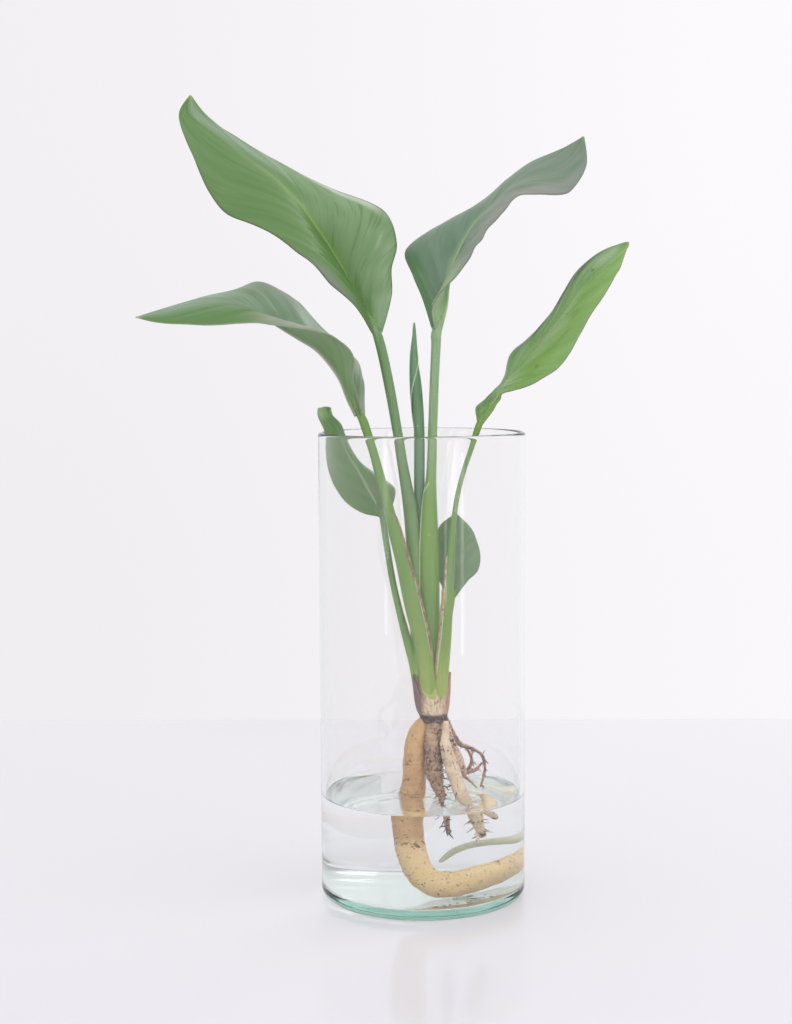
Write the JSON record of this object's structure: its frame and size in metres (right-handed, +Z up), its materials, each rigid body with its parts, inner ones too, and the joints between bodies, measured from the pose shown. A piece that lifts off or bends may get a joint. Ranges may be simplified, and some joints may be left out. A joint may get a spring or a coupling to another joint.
{
  "type": "bird of paradise plant in a glass vase",
  "caption": "Young bird of paradise plant with leaf blades on upright stalks, a rolled new leaf and thick bare roots, standing in a clear glass cylinder vase of shallow water.",
  "frame": {"origin": "centre of the vase's flat bottom, on the surface it stands on", "axes": "+Z up along the vase's axis; the leaves' main faces look along -Y, with the tallest leaf on the -X side"},
  "size_m": [0.2875, 0.12, 0.471],
  "materials": {
    "clear_glass": "polished",
    "water": "polished",
    "leaf_green": "satin",
    "stalk_green": "satin",
    "papery_brown": "matte",
    "root_tan": "satin"
  },
  "bodies": {
    "root": {"glass_vase": "clear_glass", "water": "water", "blade_upper_left": "leaf_green", "blade_upper_right": "leaf_green", "blade_lower_left": "leaf_green", "blade_right": "leaf_green", "blade_small_left": "leaf_green", "blade_small_right": "leaf_green", "spear_leaf": "stalk_green", "stalk_upper_left": "stalk_green", "stalk_upper_right": "stalk_green", "stalk_lower_left": "stalk_green", "stalk_right": "stalk_green", "stalk_small_left": "stalk_green", "stalk_small_right": "stalk_green", "crown": "papery_brown", "root_main": "root_tan", "root_middle": "root_tan", "root_front": "root_tan", "root_stub": "root_tan", "root_side": "root_tan", "rootlet_loop": "root_tan", "rootlet_hook": "root_tan", "rootlet_low": "root_tan"}
  },
  "joints": []
}
